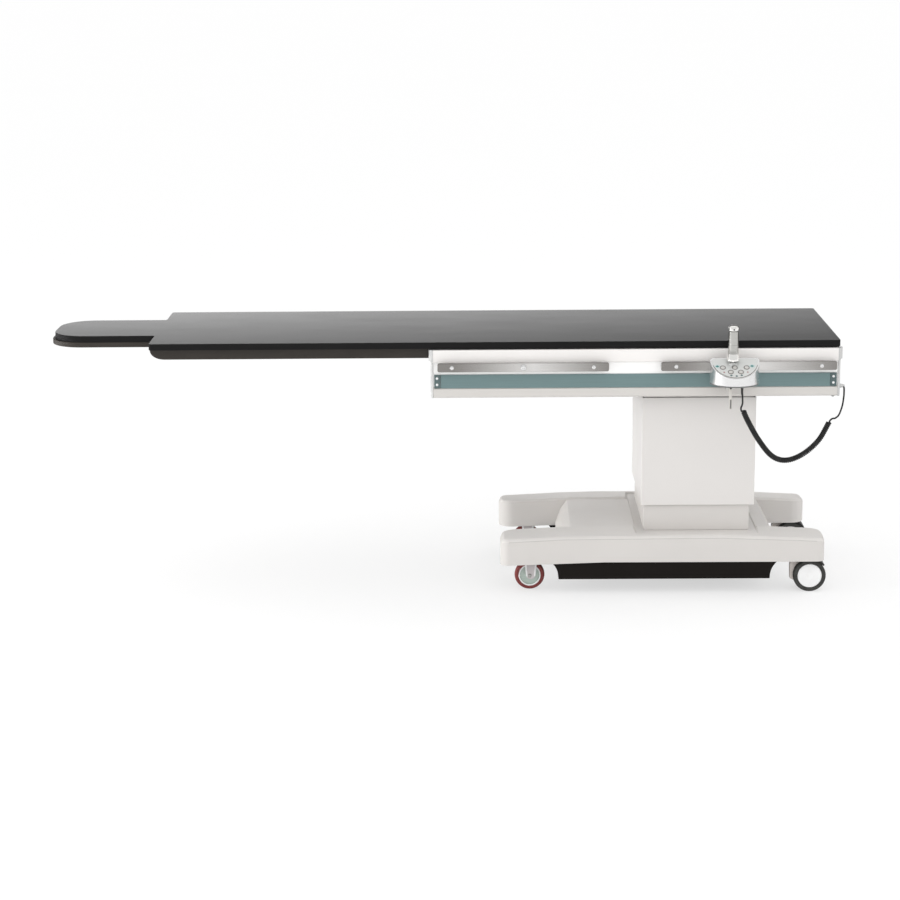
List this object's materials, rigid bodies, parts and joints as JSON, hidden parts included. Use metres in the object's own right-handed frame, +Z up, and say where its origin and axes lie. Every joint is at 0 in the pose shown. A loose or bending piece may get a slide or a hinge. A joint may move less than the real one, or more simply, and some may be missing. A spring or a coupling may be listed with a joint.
{
  "type": "catheterization table",
  "caption": "Mobile imaging table: sliding radiolucent top with head extension on a tilting frame, lifting column, H-shaped wheeled base, side rails and joystick control on a curly cord.",
  "frame": {"origin": "on the floor under the middle of the part's bounding box, cord left out", "axes": "+X along the top towards the foot end, +Y towards the side away from the control, +Z up"},
  "size_m": [2.3511, 0.687, 0.8228],
  "materials": {
    "aluminium": "anodised",
    "black_steel": "satin",
    "button_grey": "matte",
    "carbon": "carbon laminate, satin",
    "control_plastic": "silver coated",
    "cord_black": "matte",
    "cover_grey": "satin",
    "disc_white": "satin",
    "housing_cream": "satin",
    "hub_green": "satin",
    "membrane_grey": "membrane film",
    "panel_black": "black laminate, semi-gloss",
    "silver": "polished silver",
    "stainless": "brushed",
    "steel": "machined",
    "teal": "satin",
    "tyre_grey": "matte",
    "tyre_red": "matte",
    "white_alu": "white powder coat",
    "white_paint": "satin",
    "white_plastic": "satin"
  },
  "bodies": {
    "base": {"chassis": "black_steel", "base_cover": "cover_grey", "column_lower_cover": "cover_grey", "guide_column_outer": "steel"},
    "lift_column": {"column_upper_cover": "white_paint", "guide_column_inner": "aluminium", "column_head": "black_steel"},
    "saddle": {"tilt_saddle": "steel", "tilt_pin": "steel"},
    "top_frame": {"side_member_front": "aluminium", "side_member_rear": "aluminium", "pivot_member_head": "aluminium", "pivot_member_foot": "aluminium", "end_member_head": "aluminium", "end_member_foot": "aluminium", "fascia_front": "white_alu", "fascia_rear": "white_alu", "stripe_front": "teal", "stripe_rear": "teal", "end_cap_head": "white_plastic", "end_cap_foot": "white_plastic", "accessory_rail_front_head": "stainless", "accessory_rail_front_foot": "stainless", "accessory_rail_rear": "stainless", "cord_socket": "black_steel", "rail_clamp": "steel", "control_housing": "control_plastic", "control_panel": "membrane_grey", "cord_lead": "cord_black", "cord_coil": "cord_black", "cord_tail": "cord_black"},
    "tabletop": {"tabletop_board": "carbon", "tabletop_panel": "panel_black", "guide_rail_front": "steel", "guide_rail_rear": "steel"},
    "joystick_gimbal": {"joystick_gimbal": "steel"},
    "joystick": {"joystick_grip": "control_plastic"},
    "joystick_cap": {"joystick_cap": "control_plastic"},
    "clamp_lever": {"clamp_lever": "silver"},
    "panel_button_1": {"panel_button_1": "button_grey"},
    "panel_button_2": {"panel_button_2": "button_grey"},
    "panel_button_3": {"panel_button_3": "button_grey"},
    "panel_button_4": {"panel_button_4": "button_grey"},
    "panel_button_5": {"panel_button_5": "button_grey"},
    "swivel_head_front": {"caster_fork_head_front": "steel"},
    "wheel_head_front": {"caster_hub_head_front": "hub_green", "caster_tyre_head_front": "tyre_red"},
    "swivel_foot_front": {"caster_housing_foot_front": "housing_cream"},
    "wheel_foot_front": {"caster_disc_foot_front": "disc_white", "caster_tyre_foot_front_near": "tyre_grey", "caster_tyre_foot_front_far": "tyre_grey"},
    "swivel_head_rear": {"caster_fork_head_rear": "steel"},
    "wheel_head_rear": {"caster_hub_head_rear": "hub_green", "caster_tyre_head_rear": "tyre_red"},
    "swivel_foot_rear": {"caster_housing_foot_rear": "housing_cream"},
    "wheel_foot_rear": {"caster_disc_foot_rear": "disc_white", "caster_tyre_foot_rear_near": "tyre_grey", "caster_tyre_foot_rear_far": "tyre_grey"}
  },
  "joints": [
    {"name": "column_lift", "type": "slide", "parent": "base", "child": "lift_column", "axis": [0, 0, 1], "range_m": [-0.055, 0.235]},
    {"name": "trendelenburg_tilt", "type": "hinge", "parent": "lift_column", "child": "saddle", "pos_m": [0.7613, 0.0435, 0.68], "axis": [0, 1, 0], "range_deg": [-15, 15]},
    {"name": "lateral_tilt", "type": "hinge", "parent": "saddle", "child": "top_frame", "pos_m": [0.7613, 0.0435, 0.68], "axis": [1, 0, 0], "range_deg": [-12, 12]},
    {"name": "tabletop_slide", "type": "slide", "parent": "top_frame", "child": "tabletop", "axis": [1, 0, 0], "range_m": [0, 0.6]},
    {"name": "joystick_sideways", "type": "hinge", "parent": "top_frame", "child": "joystick_gimbal", "pos_m": [0.8444, -0.2845, 0.6955], "axis": [1, 0, 0], "range_deg": [-8, 8], "stiffness_Nm_per_rad": 3},
    {"name": "joystick_lengthwise", "type": "hinge", "parent": "joystick_gimbal", "child": "joystick", "pos_m": [0.8444, -0.2845, 0.6955], "axis": [0, 1, 0], "range_deg": [-8, 8], "stiffness_Nm_per_rad": 3},
    {"name": "joystick_cap_press", "type": "slide", "parent": "joystick", "child": "joystick_cap", "axis": [0, 0, -1], "range_m": [0, 0.002], "stiffness_N_per_m": 600},
    {"name": "panel_button_1_press", "type": "slide", "parent": "top_frame", "child": "panel_button_1", "axis": [0, 0.5113, -0.8594], "range_m": [0, 0.0015], "stiffness_N_per_m": 500},
    {"name": "panel_button_2_press", "type": "slide", "parent": "top_frame", "child": "panel_button_2", "axis": [0, 0.5113, -0.8594], "range_m": [0, 0.0015], "stiffness_N_per_m": 500},
    {"name": "panel_button_3_press", "type": "slide", "parent": "top_frame", "child": "panel_button_3", "axis": [0, 0.5113, -0.8594], "range_m": [0, 0.0015], "stiffness_N_per_m": 500},
    {"name": "panel_button_4_press", "type": "slide", "parent": "top_frame", "child": "panel_button_4", "axis": [0, 0.5113, -0.8594], "range_m": [0, 0.0015], "stiffness_N_per_m": 500},
    {"name": "panel_button_5_press", "type": "slide", "parent": "top_frame", "child": "panel_button_5", "axis": [0, 0.5113, -0.8594], "range_m": [0, 0.0015], "stiffness_N_per_m": 500},
    {"name": "clamp_lever_swing", "type": "hinge", "parent": "top_frame", "child": "clamp_lever", "pos_m": [0.8355, -0.3143, 0.6435], "axis": [0, 1, 0], "range_deg": [0, 90]},
    {"name": "swivel_head_front_turn", "type": "hinge", "parent": "base", "child": "swivel_head_front", "pos_m": [0.2783, -0.1605, 0.0975], "axis": [0, 0, 1], "continuous": true},
    {"name": "wheel_head_front_roll", "type": "hinge", "parent": "swivel_head_front", "child": "wheel_head_front", "pos_m": [0.2603, -0.1605, 0.045], "axis": [0, 1, 0], "continuous": true},
    {"name": "swivel_foot_front_turn", "type": "hinge", "parent": "base", "child": "swivel_foot_front", "pos_m": [1.0613, -0.1715, 0.0975], "axis": [0, 0, 1], "continuous": true},
    {"name": "wheel_foot_front_roll", "type": "hinge", "parent": "swivel_foot_front", "child": "wheel_foot_front", "pos_m": [1.0943, -0.1715, 0.0485], "axis": [0, 1, 0], "continuous": true},
    {"name": "swivel_head_rear_turn", "type": "hinge", "parent": "base", "child": "swivel_head_rear", "pos_m": [0.2783, 0.2475, 0.0975], "axis": [0, 0, 1], "continuous": true},
    {"name": "wheel_head_rear_roll", "type": "hinge", "parent": "swivel_head_rear", "child": "wheel_head_rear", "pos_m": [0.2603, 0.2475, 0.045], "axis": [0, 1, 0], "continuous": true},
    {"name": "swivel_foot_rear_turn", "type": "hinge", "parent": "base", "child": "swivel_foot_rear", "pos_m": [1.0613, 0.2585, 0.0975], "axis": [0, 0, 1], "continuous": true},
    {"name": "wheel_foot_rear_roll", "type": "hinge", "parent": "swivel_foot_rear", "child": "wheel_foot_rear", "pos_m": [1.0943, 0.2585, 0.0485], "axis": [0, 1, 0], "continuous": true}
  ]
}
